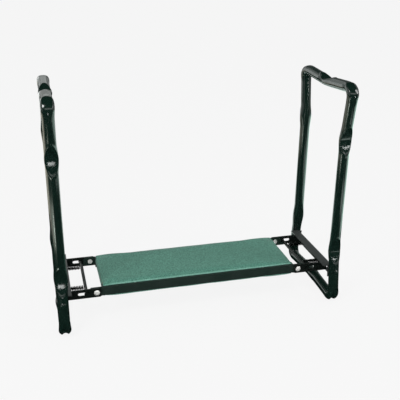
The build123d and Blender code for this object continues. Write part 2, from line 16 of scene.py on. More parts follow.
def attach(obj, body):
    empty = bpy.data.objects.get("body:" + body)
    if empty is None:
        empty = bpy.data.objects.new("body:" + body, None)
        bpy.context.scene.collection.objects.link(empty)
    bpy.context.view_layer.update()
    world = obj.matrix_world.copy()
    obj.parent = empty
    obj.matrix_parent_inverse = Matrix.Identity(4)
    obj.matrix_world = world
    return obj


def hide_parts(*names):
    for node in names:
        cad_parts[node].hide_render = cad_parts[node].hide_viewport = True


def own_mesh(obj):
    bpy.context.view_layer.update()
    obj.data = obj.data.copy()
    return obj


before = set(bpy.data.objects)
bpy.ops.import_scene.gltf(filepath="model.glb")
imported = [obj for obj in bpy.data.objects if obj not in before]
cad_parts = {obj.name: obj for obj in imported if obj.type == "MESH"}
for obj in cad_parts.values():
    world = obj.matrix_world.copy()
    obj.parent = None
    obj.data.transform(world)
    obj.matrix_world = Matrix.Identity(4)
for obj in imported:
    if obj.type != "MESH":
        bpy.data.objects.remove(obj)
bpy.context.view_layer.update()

# %% [markdown]
# ## Four small helpers
# Colours are written as sRGB hex codes, as a painter's chart gives them, and shaders want linear light, so
# one function converts them. A second one empties the node tree of a material or of the world, and a third
# adds a node to any tree with its settings and links. The last one turns a finished mesh into a piece that
# moves with its body and takes the place of its CAD nodes.

# %% Colour, node and piece helpers
# The bench's sizes are written in millimetres, as on a drawing, and Blender wants metres. The studio's places
# are in metres.
MM = 0.001


def linear(code):
    """Linear RGBA of an sRGB hex colour, by the sRGB standard's own curve."""
    parts = [int(code[place:place + 2], 16) / 255 for place in (1, 3, 5)]
    return [part / 12.92 if part <= 0.04045 else ((part + 0.055) / 1.055) ** 2.4 for part in parts] + [1.0]


def bare_tree(owner):
    """Emptied node tree of a material or a world."""
    owner.use_nodes = True
    owner.node_tree.nodes.clear()
    return owner.node_tree


def add(tree, kind, inputs=None, **settings):
    """A new node in a tree, with its settings, and its inputs linked or given a value."""
    node = tree.nodes.new(kind)
    for name, value in settings.items():
        setattr(node, name, value)
    for socket, value in (inputs or {}).items():
        if isinstance(value, bpy.types.NodeSocket):
            tree.links.new(value, node.inputs[socket])
        else:
            node.inputs[socket].default_value = value
    return node


def settle(piece, body, slot, *nodes):
    """The piece rides on its body and stands for CAD nodes."""
    if piece.name not in bpy.context.scene.collection.objects:
        bpy.context.scene.collection.objects.link(piece)
    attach(piece, body)
    if nodes:
        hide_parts(*nodes)
    return piece


print("helpers ready")

# %% [markdown]
# ## Camera
# The photograph looks down on the bench from the front left. Its camera was worked out from the bench's own
# straight edges: the focal length, the place and the three turns below bring the corners to where the
# photograph has them. A camera can be turned by Euler angles too, but the three directions of its view are
# easier to follow: ahead, to the right and up.

# %% Camera
CAMERA_PLACE = (-0.3107, -1.213, 0.7279)
CAMERA_YAW = radians(15.0)
CAMERA_PITCH = radians(21.89)
CAMERA_ROLL = radians(0.68)
FOCAL_PIXELS = 634.5
FRAME_PIXELS = 400
SENSOR_MM = 36

level_share = cos(CAMERA_PITCH)
ahead = Vector((sin(CAMERA_YAW) * level_share, cos(CAMERA_YAW) * level_share, -sin(CAMERA_PITCH)))
level_right = Vector((cos(CAMERA_YAW), -sin(CAMERA_YAW), 0))
level_up = level_right.cross(ahead)
right = level_right * cos(CAMERA_ROLL) + level_up * sin(CAMERA_ROLL)
up = right.cross(ahead)
camera_data = bpy.data.cameras.new("Photo camera")
camera_data.sensor_width = SENSOR_MM
camera_data.lens = SENSOR_MM * FOCAL_PIXELS / FRAME_PIXELS
camera = bpy.data.objects.new("Photo camera", camera_data)
bpy.context.scene.collection.objects.link(camera)
turn = Matrix((right, up, -ahead)).transposed().to_4x4()
camera.matrix_world = Matrix.Translation(CAMERA_PLACE) @ turn
bpy.context.scene.camera = camera
bpy.context.scene.view_settings.view_transform = "Standard"
print("lens", round(camera_data.lens, 1), "mm")

# %% [markdown]
# ## Studio
# The bench stands on seamless paper: floor and backdrop are one pale grey, so the horizon disappears.
# More light would make the paper pale too, but it would bleach the bench. So most of what the camera sees
# of the paper is its own glow, and the rest takes the bench's shadow. The world lights the bench evenly,
# and two softboxes give it form.

# %% Floor and world
PAPER = "#f7f7f7"
PAPER_GLOW = 0.95
FLOOR_HALF = 12.0
WORLD_LIGHT = 0.62


def seeing_rays(tree):
    """1 for a ray of the camera, of gloss or of glass, which sees the plain backdrop, and 0 for others."""
    path = add(tree, "ShaderNodeLightPath").outputs
    seen = path["Is Camera Ray"]
    for kind in ("Is Glossy Ray", "Is Transmission Ray"):
        seen = add(tree, "ShaderNodeMath", {0: seen, 1: path[kind]}, operation="MAXIMUM").outputs[0]
    return seen


floor_mesh = bpy.data.meshes.new("Floor")
corners = [(-FLOOR_HALF, -FLOOR_HALF, 0), (FLOOR_HALF, -FLOOR_HALF, 0),
           (FLOOR_HALF, FLOOR_HALF, 0), (-FLOOR_HALF, FLOOR_HALF, 0)]
floor_mesh.from_pydata(corners, [], [(0, 1, 2, 3)])
floor = bpy.data.objects.new("Floor", floor_mesh)
bpy.context.scene.collection.objects.link(floor)

# Matt paper gives the eye one even pale grey, with a trace of shadow.
paper = bpy.data.materials.new("Seamless paper")
tree = bare_tree(paper)
lit = add(tree, "ShaderNodeBsdfDiffuse", {"Color": linear(PAPER)}).outputs[0]
glow = add(tree, "ShaderNodeEmission", {"Color": linear(PAPER), "Strength": 1.0}).outputs[0]
share = add(tree, "ShaderNodeMath", {0: seeing_rays(tree), 1: PAPER_GLOW}, operation="MULTIPLY").outputs[0]
mixed = add(tree, "ShaderNodeMixShader", {0: share, 1: lit, 2: glow}).outputs[0]
add(tree, "ShaderNodeOutputMaterial", {"Surface": mixed})
floor_mesh.materials.append(paper)

world = bpy.data.worlds.new("Studio")
bpy.context.scene.world = world
tree = bare_tree(world)
air = add(tree, "ShaderNodeBackground", {"Color": linear("#ffffff"), "Strength": WORLD_LIGHT}).outputs[0]
backdrop = add(tree, "ShaderNodeBackground", {"Color": linear(PAPER), "Strength": 1.0}).outputs[0]
mixed = add(tree, "ShaderNodeMixShader", {0: seeing_rays(tree), 1: air, 2: backdrop}).outputs[0]
add(tree, "ShaderNodeOutputWorld", {"Surface": mixed})
print("paper", PAPER, "under a world of strength", WORLD_LIGHT)

# %% Softboxes
LAMP_TARGET = Vector((0, 0, 0.2))


def softbox(name, place, size, power):
    """Large lamp that faces the bench; place and size in metres, power in watts."""
    lamp = bpy.data.lights.new(name, "AREA")
    lamp.shape = "RECTANGLE"
    lamp.size, lamp.size_y = size
    lamp.energy = power
    holder = bpy.data.objects.new(name, lamp)
    bpy.context.scene.collection.objects.link(holder)
    holder.location = place
    holder.rotation_euler = (LAMP_TARGET - Vector(place)).to_track_quat("-Z", "Y").to_euler()
    return holder


softbox("Key softbox", place=(-1.3, -1.1, 1.9), size=(0.6, 0.6), power=24)
softbox("Fill softbox", place=(1.6, -0.9, 1.4), size=(0.5, 0.9), power=11)
print(len(bpy.data.lights), "softboxes")

# %% [markdown]
# ## What the gloss mirrors
# Gloss paint looks like what it mirrors, and pale paper all round would turn it pale. So the bench gets a
# room that only reflections see: dark cards for its floor, walls and ceiling, pale ones where daylight
# falls in, and a few small bright ones for the glints. Lamps could draw glints too, but they would also
# light everything else.

# %% How a card is made
def gloss_card(name, corners, colour, strength):
    """Flat card that only mirror-like surfaces see, and only from its face."""
    mesh = bpy.data.meshes.new(name)
    mesh.from_pydata(corners, [], [tuple(range(len(corners)))])
    card = bpy.data.objects.new(name, mesh)
    bpy.context.scene.collection.objects.link(card)
    material = bpy.data.materials.new(name)
    tree = bare_tree(material)
    light = add(tree, "ShaderNodeEmission", {"Color": linear(colour), "Strength": strength}).outputs[0]
    clear = add(tree, "ShaderNodeBsdfTransparent").outputs[0]
    behind = add(tree, "ShaderNodeNewGeometry").outputs["Backfacing"]
    face = add(tree, "ShaderNodeMixShader", {0: behind, 1: light, 2: clear}).outputs[0]
    add(tree, "ShaderNodeOutputMaterial", {"Surface": face})
    mesh.materials.append(material)
    card.visible_camera = card.visible_diffuse = card.visible_shadow = card.visible_transmission = False
    return card


def on_floor(layer, *outline):
    """Corners of a card that lies by the floor, face up."""
    return [(x, y, layer * MM) for x, y in outline]


def wall(y, left, right, low, high):
    """Corners of a card that stands across the view and faces the bench."""
    feet = [(left, y), (right, y)] if y > 0 else [(right, y), (left, y)]
    return [(x, y, low) for x, y in feet] + [(x, y, high) for x, y in reversed(feet)]


print("card helpers ready")

# %% Cards by the floor
# Places on the floor are in metres. The cards lie in layers, in millimetres, with the pale ones over the
# dark one.
LAYER_1, LAYER_2, LAYER_3, LAYER_4 = 0.4, 0.6, 0.8, 1.0
FRONT_Y, BACK_Y = -2.4, 3.2
DARK_HALF = 6.0
DAYLIGHT = "#e8ecea"
PALE_MINT = "#d6e6df"

floor_cards = [
    gloss_card("Dark floor", on_floor(LAYER_1, (-DARK_HALF, FRONT_Y), (DARK_HALF, FRONT_Y),
                                      (DARK_HALF, BACK_Y), (-DARK_HALF, BACK_Y)), "#1c211f", 1.0),
    gloss_card("Near left floor", on_floor(LAYER_3, (-0.54, -0.45), (-0.68, -0.27), (-0.72, -0.04),
                                           (-1.03, 0.0), (-0.97, -0.40), (-0.72, -0.71)), "#cfd6c8", 4.5),
    gloss_card("Far left floor", on_floor(LAYER_3, (-0.75, 0.05), (-0.65, 0.36), (-0.14, 0.86), (-0.45, 1.75),
                                          (-1.35, 1.3), (-1.65, 0.05)), "#d8d5c4", 1.8),
    gloss_card("Right front floor", on_floor(LAYER_2, (0.40, -0.66), (0.44, -0.90), (0.80, -0.66),
                                             (0.66, -0.45)), PALE_MINT, 3.4),
    gloss_card("Right floor", on_floor(LAYER_2, (0.58, -0.33), (2.5, -1.5), (2.5, 1.2), (0.5, 1.2),
                                       (0.60, 0.40), (0.67, 0.11), (0.66, -0.08)), "#c8e6da", 3.6),
    gloss_card("Middle floor", on_floor(LAYER_3, (0.0, 0.12), (0.9, 0.35), (0.9, 1.3), (0.2, 1.3),
                                        (-0.1, 0.5)), PALE_MINT, 2.0),
    gloss_card("Far floor", on_floor(LAYER_2, (-4.5, 1.4), (-0.4, 1.4), (-0.9, BACK_Y), (-4.5, BACK_Y)),
               DAYLIGHT, 2.4),
    gloss_card("Mint strip", on_floor(LAYER_4, (-0.63, -0.39), (-0.65, -0.365), (-0.80, -0.475),
                                      (-0.77, -0.51)), "#d4e3d9", 40.0),
]
print(len(floor_cards), "cards by the floor")

# %% Walls, ceiling and glints
SHADE = "#131817"
ROOM_HALF, ROOM_TOP = 4.0, 4.0
BACK_HALF, BACK_LEFT, BACK_RIGHT = 4.5, -1.2, 0.6
LEFT_STEP, LOW_STEP, HIGH_STEP, BACK_TOP = 1.4, 1.1, 1.9, 2.3
WINDOW_Y, GLINT_Y = -2.3, -1.5

gloss_card("Front shade", wall(FRONT_Y, -ROOM_HALF, ROOM_HALF, 0.0, ROOM_TOP), SHADE, 1.0)
gloss_card("Ceiling shade", [(-ROOM_HALF, FRONT_Y, ROOM_TOP), (-ROOM_HALF, BACK_Y, ROOM_TOP),
                             (ROOM_HALF, BACK_Y, ROOM_TOP), (ROOM_HALF, FRONT_Y, ROOM_TOP)], SHADE, 1.0)
gloss_card("Back wall left", wall(BACK_Y, -BACK_HALF, BACK_LEFT, 0.0, LEFT_STEP), DAYLIGHT, 2.4)
gloss_card("Back wall middle low", wall(BACK_Y, BACK_LEFT, BACK_RIGHT, 0.0, LOW_STEP), DAYLIGHT, 0.5)
gloss_card("Back wall middle", wall(BACK_Y, BACK_LEFT, BACK_RIGHT, LOW_STEP, HIGH_STEP), DAYLIGHT, 1.2)
gloss_card("Back wall left top", wall(BACK_Y, -BACK_HALF, BACK_LEFT, LEFT_STEP, BACK_TOP), DAYLIGHT, 1.0)
gloss_card("Back wall middle top", wall(BACK_Y, BACK_LEFT, BACK_RIGHT, HIGH_STEP, BACK_TOP), DAYLIGHT, 0.8)
gloss_card("Back wall right", wall(BACK_Y, BACK_RIGHT, BACK_HALF, 0.0, BACK_TOP), DAYLIGHT, 0.2)
gloss_card("Back shade", wall(BACK_Y, -BACK_HALF, BACK_HALF, BACK_TOP, ROOM_TOP), SHADE, 1.0)
gloss_card("Front window", wall(WINDOW_Y, -1.2, 2.2, 1.5, 2.0), DAYLIGHT, 2.5)
gloss_card("Left glint", wall(GLINT_Y, -0.325, -0.265, 0.10, 0.32), DAYLIGHT, 30.0)
gloss_card("Right glint", wall(GLINT_Y, 1.03, 1.07, 0.46, 0.58), DAYLIGHT, 80.0)
print("room for reflections:", 2 * ROOM_HALF, "m wide,", ROOM_TOP, "m high")

# %% [markdown]
# ## Finishes
# Each finish starts from what the real surface is. The tubes are steel under gloss powder coat, sprayed
# as dry powder and melted, which leaves a skin like very fine orange peel. The rails and brackets have
# the same coat, but flat pressed sheet shows it duller. Pivot rivets and screws are zinc plated, springs
# are oiled wire, and the cover is a plain weave of polyester yarn. Pictures could be wrapped round the
# pieces, but patterns worked out from the place on the piece need no unwrapping, and they are scaled from
# real sizes in millimetres.

# %% Material helper
# A noise texture's values lie mostly between these two.
NOISE_LOW, NOISE_HIGH = 0.3, 0.7


def new_finish(name):
    """Empty material with a Principled shader; returns it with its tree, shader and object coordinates."""
    material = bpy.data.materials.new(name)
    tree = bare_tree(material)
    shader = add(tree, "ShaderNodeBsdfPrincipled")
    add(tree, "ShaderNodeOutputMaterial", {"Surface": shader.outputs[0]})
    return material, tree, shader, add(tree, "ShaderNodeTexCoord").outputs["Object"]


print("finish helper ready")

# %% Powder coats
# Melted powder is one closed skin of nearly one colour. It gives the eye clear reflections whose edges waver,
# because of the orange peel, and a shine that varies a little from place to place.
CLOUD_MM = 45.0
SHINIER, DULLER = 0.8, 1.25
PEEL_STRENGTH = 0.35
PAINT_IOR = 1.5


def powder_coat(name, colour, shade, rough, peel_mm, peel_depth_mm):
    """Melted powder paint: two close shades in soft clouds, and a fine orange-peel skin."""
    material, tree, shader, place = new_finish(name)
    clouds = add(tree, "ShaderNodeTexNoise",
                 {"Vector": place, "Scale": 1 / (CLOUD_MM * MM), "Detail": 3}).outputs[0]
    tint = add(tree, "ShaderNodeMix", {0: clouds, 6: linear(colour), 7: linear(shade)}, data_type="RGBA")
    tree.links.new(tint.outputs[2], shader.inputs["Base Color"])
    gloss = add(tree, "ShaderNodeMapRange",
                {0: clouds, 1: NOISE_LOW, 2: NOISE_HIGH, 3: rough * SHINIER, 4: rough * DULLER})
    tree.links.new(gloss.outputs[0], shader.inputs["Roughness"])
    peel = add(tree, "ShaderNodeTexNoise",
               {"Vector": place, "Scale": 1 / (peel_mm * MM), "Detail": 2}).outputs[0]
    bump = add(tree, "ShaderNodeBump",
               {"Height": peel, "Strength": PEEL_STRENGTH, "Distance": peel_depth_mm * MM})
    tree.links.new(bump.outputs[0], shader.inputs["Normal"])
    shader.inputs["IOR"].default_value = PAINT_IOR
    return material


# Gloss on the tubes: nearly black where the room is dark, with hard bright stripes along the tube.
tube_coat = powder_coat("Gloss green powder coat", "#0b1b16", "#10231d", rough=0.14, peel_mm=3.0,
                        peel_depth_mm=0.006)
# Satin on the rails: an even dark green with a broad, soft shine.
rail_coat = powder_coat("Satin green powder coat", "#182923", "#1e302a", rough=0.36, peel_mm=2.0,
                        peel_depth_mm=0.03)
# Satin on arms, rods and pins: almost black, so that only their edges stand out.
bracket_coat = powder_coat("Black green powder coat", "#0c1210", "#111916", rough=0.34, peel_mm=2.0,
                           peel_depth_mm=0.03)
# Satin on the cross angles: a grey black, lighter than the legs beside it, as painted sheen from above.
angle_coat_with_painted_sheen = powder_coat("Angle coat with painted sheen", "#353938", "#3c403f", rough=0.34, peel_mm=2.0,
                         peel_depth_mm=0.03)
print("coats:", ", ".join(coat.name for coat in (tube_coat, rail_coat, bracket_coat, angle_coat_with_painted_sheen)))

# %% Zinc and spring wire
# A plated skin is made of crystals, and drawn wire has a fine oily grain. Both give the eye a shine that
# breaks up a little. The real grain is a few hundredths of a millimetre, so it is drawn coarser, to show
# at all.
SMOOTHER, COARSER = 0.7, 1.4
GRAIN_STRENGTH, GRAIN_DEPTH_MM = 0.2, 0.02


def bare_metal(name, colour, rough, grain_mm, metallic):
    """Plated or drawn metal with a fine uneven polish."""
    material, tree, shader, place = new_finish(name)
    grain = add(tree, "ShaderNodeTexNoise",
                {"Vector": place, "Scale": 1 / (grain_mm * MM), "Detail": 4}).outputs[0]
    polish = add(tree, "ShaderNodeMapRange",
                 {0: grain, 1: NOISE_LOW, 2: NOISE_HIGH, 3: rough * SMOOTHER, 4: rough * COARSER})
    tree.links.new(polish.outputs[0], shader.inputs["Roughness"])
    bump = add(tree, "ShaderNodeBump",
               {"Height": grain, "Strength": GRAIN_STRENGTH, "Distance": GRAIN_DEPTH_MM * MM})
    tree.links.new(bump.outputs[0], shader.inputs["Normal"])
    shader.inputs["Base Color"].default_value = linear(colour)
    shader.inputs["Metallic"].default_value = metallic
    return material


# Zinc is painted near white and partly metallic as a painted reflection, so a rivet head looks almost white.
zinc_with_painted_reflection = bare_metal("Zinc with painted reflection", "#f4f4f0", rough=0.35, grain_mm=0.8, metallic=0.35)
# Oiled wire is dark, and each turn of a spring carries a thin line of light.
spring_wire = bare_metal("Oiled spring wire", "#151817", rough=0.42, grain_mm=0.6, metallic=1.0)
print("metals:", zinc_with_painted_reflection.name, "/", spring_wire.name)

# %% Woven cover
# Cloth of spun yarn gives the eye a matt, grainy green: yarns that rise catch light, and the gaps between
# are deep and painted darker as shade. The yarns are about 0.7 mm apart, finer than a pixel of the
# photograph, so the weave is drawn at 2 mm, and the fuzz of the yarn, which is finer still, at 2.8 mm.
YARN_MM, FUZZ_MM = 2.0, 2.8
FUZZ_LOW, FUZZ_HIGH = 0.32, 0.68
FUZZ_SHARE = 0.5
DEPTH_LOW, DEPTH_HIGH = 0.2, 0.8
WEAVE_STRENGTH, WEAVE_DEPTH_MM = 0.5, 0.25
CLOTH_ROUGH, CLOTH_SHEEN, CLOTH_SHEEN_ROUGH = 0.82, 0.15, 0.4


def woven_cover(name, light, deep):
    """Plain weave: yarns rise and dip in turn along both ways, with the dips painted darker as shade, and a
    soft sheen.
    """
    material, tree, shader, place = new_finish(name)
    axes = add(tree, "ShaderNodeSeparateXYZ", {0: place}).outputs
    lengthwise = add(tree, "ShaderNodeMath", {0: axes["X"], 1: axes["Z"]}, operation="ADD").outputs[0]
    waves = []
    for way in (lengthwise, axes["Y"]):
        turns = add(tree, "ShaderNodeMath", {0: way, 1: pi / (YARN_MM * MM)}, operation="MULTIPLY").outputs[0]
        waves.append(add(tree, "ShaderNodeMath", {0: turns}, operation="SINE").outputs[0])
    crossing = add(tree, "ShaderNodeMath", {0: waves[0], 1: waves[1]}, operation="MULTIPLY").outputs[0]
    yarn = add(tree, "ShaderNodeMapRange", {0: crossing, 1: -1.0, 2: 1.0}).outputs[0]
    fuzz = add(tree, "ShaderNodeTexNoise",
               {"Vector": place, "Scale": 1 / (FUZZ_MM * MM), "Detail": 3}).outputs[0]
    fuzz = add(tree, "ShaderNodeMapRange", {0: fuzz, 1: FUZZ_LOW, 2: FUZZ_HIGH}).outputs[0]
    depth = add(tree, "ShaderNodeMix", {0: FUZZ_SHARE, 2: yarn, 3: fuzz}).outputs[0]
    spread = add(tree, "ShaderNodeMapRange", {0: depth, 1: DEPTH_LOW, 2: DEPTH_HIGH}).outputs[0]
    # The colour follows the depth: raised yarn is paler, and the dips are painted shade.
    tint = add(tree, "ShaderNodeMix", {0: spread, 6: linear(deep), 7: linear(light)}, data_type="RGBA")
    tree.links.new(tint.outputs[2], shader.inputs["Base Color"])
    bump = add(tree, "ShaderNodeBump",
               {"Height": depth, "Strength": WEAVE_STRENGTH, "Distance": WEAVE_DEPTH_MM * MM})
    tree.links.new(bump.outputs[0], shader.inputs["Normal"])
    shader.inputs["Roughness"].default_value = CLOTH_ROUGH
    shader.inputs["Sheen Weight"].default_value = CLOTH_SHEEN
    shader.inputs["Sheen Roughness"].default_value = CLOTH_SHEEN_ROUGH
    return material


cover_cloth = woven_cover("Woven polyester cover", "#5a9683", "#2d5c4f")
# On the pad's front and rear sides the cover is paler, a painted highlight, so the edge is a paler line.
edge_highlight_cloth = woven_cover("Cover with painted edge highlight", "#78ab9b", "#538877")
print("cloth:", cover_cloth.name, "with yarns drawn", YARN_MM, "mm apart")

# %% Board
# Sawn softwood gives the eye long, soft streaks of pale and darker rings along the grain.
RING_MM, RING_DETAIL = 6.0, 5
GRAIN_STRETCH = (0.08, 1, 1)
WOOD_ROUGH = 0.7

board_wood, tree, shader, place = new_finish("Sawn softwood board")
stretched = add(tree, "ShaderNodeMapping", {0: place, 3: GRAIN_STRETCH}).outputs[0]
rings = add(tree, "ShaderNodeTexNoise",
            {"Vector": stretched, "Scale": 1 / (RING_MM * MM), "Detail": RING_DETAIL}).outputs[0]
tint = add(tree, "ShaderNodeMix", {0: rings, 6: linear("#a98a63"), 7: linear("#d0b48a")}, data_type="RGBA")
tree.links.new(tint.outputs[2], shader.inputs["Base Color"])
shader.inputs["Roughness"].default_value = WOOD_ROUGH
print("board:", board_wood.name)

# %% [markdown]
# ## Tubes with crushed bends
# Each frame is two loops of 22 mm tube. Thin tube that is bent cold without a mandrel collapses a little:
# it spreads sideways, a slight bend gets a long dent on its inner side, and a tight corner gets a crease
# over its outer side. A sweep alone would be too round, and sculpting by hand would not repeat. So a node
# tree rounds a line of corner points, sweeps a ring along it and then pushes the skin in by rule, from
# sizes that each corner point carries: how far the crush reaches, how wide the tube spreads and how deep
# the fold is.

# %% The loops' corner points
# A point (y, z) of a loop's axis is the complex number y + z*1j, on the front half, in millimetres.
TUBE_R = 11.0
FRAME_X = 289.0
WAIST_Y = 98.5
FLARE = radians(8.2)
LOWER_BEND_Z, UPPER_BEND_Z = 120.0, 368.0
GRIP_TOP_Z = 484.0
HALF_BAR_BEND = radians(4.0)
CORNER_R, BEND_R = 15.0, 60.0
# A corner's crush takes this much off its reach, so its axis lies that much further out.
CORNER_SETTLE = 0.469
RIVET_Z, SLEEVE_BELOW_RIVET = 73.0, 15.0
SLEEVE_Z = RIVET_Z - SLEEVE_BELOW_RIVET * cos(FLARE)


def leg_point(z):
    """Axis of the front leg at a height."""
    return complex(-WAIST_Y - max(z - UPPER_BEND_Z, LOWER_BEND_Z - z, 0.0) * tan(FLARE), z)


def bar_points(bend_z, extreme_z, way):
    """Corner and middle of a cross bar whose corner reaches a height."""
    centre_z = extreme_z - way * (TUBE_R + CORNER_R)
    centre_y = WAIST_Y + way * (centre_z - bend_z) * tan(FLARE) - CORNER_R / cos(FLARE)
    middle_z = centre_z + way * (CORNER_R / cos(HALF_BAR_BEND) - centre_y * tan(HALF_BAR_BEND))
    corner_y = (WAIST_Y + way * (middle_z - bend_z) * tan(FLARE)) / (1 - tan(HALF_BAR_BEND) * tan(FLARE))
    return complex(-corner_y, middle_z + way * corner_y * tan(HALF_BAR_BEND)), complex(0, middle_z)


SLEEVE = leg_point(SLEEVE_Z)
GRIP_CORNER, GRIP_MIDDLE = bar_points(UPPER_BEND_Z, GRIP_TOP_Z + CORNER_SETTLE, 1)
FOOT_CORNER, FOOT_MIDDLE = bar_points(LOWER_BEND_Z, -CORNER_SETTLE, -1)
HANDLE_HALF = [SLEEVE, leg_point(LOWER_BEND_Z), leg_point(UPPER_BEND_Z), GRIP_CORNER, GRIP_MIDDLE]
FOOT_HALF = [SLEEVE, FOOT_CORNER, FOOT_MIDDLE]


def whole_loop(half):
    """Front half and its mirror image, from sleeve to sleeve."""
    return half + [complex(-point.real, point.imag) for point in reversed(half[:-1])]


print("grip corner", GRIP_CORNER, "foot corner", FOOT_CORNER)

# %% Sizes of the crush at each corner point
SLIGHT = {"bend_radius": BEND_R, "crush_reach": 31.3, "spread": 2.2, "flatten": 1.0,
          "fold_depth": 6.2, "fold_reach": 30.0, "fold_width": 10.5, "lip": 0.7}
CORNER = {"bend_radius": CORNER_R, "crush_reach": 25.4, "spread": 1.6, "flatten": 1.0,
          "fold_depth": 4.4, "fold_reach": 27.0, "fold_width": 5.2, "lip": 0.0}
GRIP_TURN = {**CORNER, "fold_depth": 1.8, "fold_width": 8.0}
PLAIN_END = {"bend_radius": 0.0, "crush_reach": 1.0, "spread": 0.0, "flatten": 0.0,
             "fold_depth": 0.0, "fold_reach": 1.0, "fold_width": 1.0, "lip": 0.0}
TIGHT_TURN = radians(45)


def bend_facts(before, point, after):
    """Crush sizes of a bend, with the middle of its arc and the way to its folded side."""
    way_in = (point - before) / abs(point - before)
    way_out = (after - point) / abs(after - point)
    turning = phase(way_out / way_in)
    tight = abs(turning) > TIGHT_TURN
    facts = CORNER if tight else SLIGHT
    if tight and point.imag > UPPER_BEND_Z:
        facts = GRIP_TURN
    inward = (way_out - way_in) / abs(way_out - way_in)
    middle = point + inward * facts["bend_radius"] * (1 / cos(turning / 2) - 1)
    fold_way = -inward if tight else inward
    return facts, middle, fold_way


def loop_points(name, half, side):
    """Mesh of a loop's corner points in a line, each carrying its crush sizes in metres."""
    points = whole_loop(half)
    mesh = bpy.data.meshes.new(name)
    mesh.from_pydata([(side * FRAME_X * MM, p.real * MM, p.imag * MM) for p in points],
                     [(k, k + 1) for k in range(len(points) - 1)], [])
    rows = [(PLAIN_END, points[0], 1j)]
    rows += [bend_facts(*points[k - 1:k + 2]) for k in range(1, len(points) - 1)]
    rows.append((PLAIN_END, points[-1], 1j))
    for key in PLAIN_END:
        values = [row[0][key] * MM for row in rows]
        mesh.attributes.new(key, "FLOAT", "POINT").data.foreach_set("value", values)
    middles = [c for row in rows for c in (side * FRAME_X * MM, row[1].real * MM, row[1].imag * MM)]
    mesh.attributes.new("bend_middle", "FLOAT_VECTOR", "POINT").data.foreach_set("vector", middles)
    folds = [c for row in rows for c in (0.0, row[2].real, row[2].imag)]
    mesh.attributes.new("fold_way", "FLOAT_VECTOR", "POINT").data.foreach_set("vector", folds)
    return bpy.data.objects.new(name, mesh)


print("dents", SLIGHT["fold_depth"], "mm deep, foot creases", CORNER["fold_depth"], "mm")

# %% Node trees: how one is started and how one is run
SOCKETS = {"length": "NodeSocketFloat", "count": "NodeSocketInt", "finish": "NodeSocketMaterial",
           "vector": "NodeSocketVector"}


def start_tree(name, inputs):
    """New geometry tree with named inputs; returns it with the outputs of its input node."""
    tree = bpy.data.node_groups.new(name, "GeometryNodeTree")
    tree.interface.new_socket("Geometry", in_out="INPUT", socket_type="NodeSocketGeometry")
    for title, kind in inputs.items():
        tree.interface.new_socket(title, in_out="INPUT", socket_type=SOCKETS[kind])
    tree.interface.new_socket("Geometry", in_out="OUTPUT", socket_type="NodeSocketGeometry")
    return tree, add(tree, "NodeGroupInput").outputs


def run_tree(piece, tree, values):
    """Runs a tree on a piece and leaves the result as its plain mesh."""
    if piece.name not in bpy.context.scene.collection.objects:
        bpy.context.scene.collection.objects.link(piece)
    modifier = piece.modifiers.new("Maker", "NODES")
    modifier.node_group = tree
    for item in tree.interface.items_tree:
        if item.in_out == "INPUT" and item.name in values:
            modifier[item.identifier] = values[item.name]
    depsgraph = bpy.context.evaluated_depsgraph_get()
    mesh = bpy.data.meshes.new_from_object(piece.evaluated_get(depsgraph))
    piece.modifiers.remove(modifier)
    piece.data = mesh
    return piece


print("tree helpers ready")

# %% The crushed tube tree: a round tube along the rounded line
ARC_POINTS = 24

tube_tree, given = start_tree("Crushed tube", {"Tube Radius": "length", "Step": "length", "Sides": "count",
                                               "Finish": "finish"})
corners_in = given["Geometry"]
radius = add(tube_tree, "GeometryNodeInputNamedAttribute", {"Name": "bend_radius"},
             data_type="FLOAT").outputs[0]
line = add(tube_tree, "GeometryNodeMeshToCurve", {0: corners_in}).outputs[0]
rounded = add(tube_tree, "GeometryNodeFilletCurve", {"Curve": line, "Count": ARC_POINTS, "Radius": radius},
              mode="POLY").outputs[0]
even = add(tube_tree, "GeometryNodeResampleCurve", {"Curve": rounded, "Length": given["Step"]},
           mode="LENGTH").outputs[0]
position = add(tube_tree, "GeometryNodeInputPosition").outputs[0]
marked = add(tube_tree, "GeometryNodeStoreNamedAttribute",
             {"Geometry": even, "Name": "centre", "Value": position},
             data_type="FLOAT_VECTOR", domain="POINT").outputs[0]
ring = add(tube_tree, "GeometryNodeCurvePrimitiveCircle",
           {"Resolution": given["Sides"], "Radius": given["Tube Radius"]}).outputs[0]
skin = add(tube_tree, "GeometryNodeCurveToMesh",
           {"Curve": marked, "Profile Curve": ring, "Fill Caps": True}).outputs[0]
print("round tube:", len(tube_tree.nodes), "nodes")

# %% The crushed tube tree: what the nearest bend says
CARRIED = {"crush_reach": "FLOAT", "spread": "FLOAT", "flatten": "FLOAT", "fold_depth": "FLOAT",
           "fold_reach": "FLOAT", "fold_width": "FLOAT", "lip": "FLOAT",
           "bend_middle": "FLOAT_VECTOR", "fold_way": "FLOAT_VECTOR"}

centre = add(tube_tree, "GeometryNodeInputNamedAttribute", {"Name": "centre"},
             data_type="FLOAT_VECTOR").outputs[0]
nearest = add(tube_tree, "GeometryNodeSampleNearest",
              {"Geometry": corners_in, "Sample Position": centre}).outputs[0]
facts = {}
for key, kind in CARRIED.items():
    carried = add(tube_tree, "GeometryNodeInputNamedAttribute", {"Name": key}, data_type=kind).outputs[0]
    facts[key] = add(tube_tree, "GeometryNodeSampleIndex",
                     {"Geometry": corners_in, "Value": carried, "Index": nearest}, data_type=kind).outputs[0]
distance = add(tube_tree, "ShaderNodeVectorMath", {0: centre, 1: facts["bend_middle"]},
               operation="DISTANCE").outputs[1]
spoke = add(tube_tree, "ShaderNodeVectorMath", {0: position, 1: centre}, operation="SUBTRACT").outputs[0]
sideways = add(tube_tree, "ShaderNodeSeparateXYZ", {0: spoke}).outputs["X"]
toward = add(tube_tree, "ShaderNodeVectorMath", {0: spoke, 1: facts["fold_way"]},
             operation="DOT_PRODUCT").outputs[1]
side_share = add(tube_tree, "ShaderNodeMath", {0: sideways, 1: given["Tube Radius"]},
                 operation="DIVIDE").outputs[0]
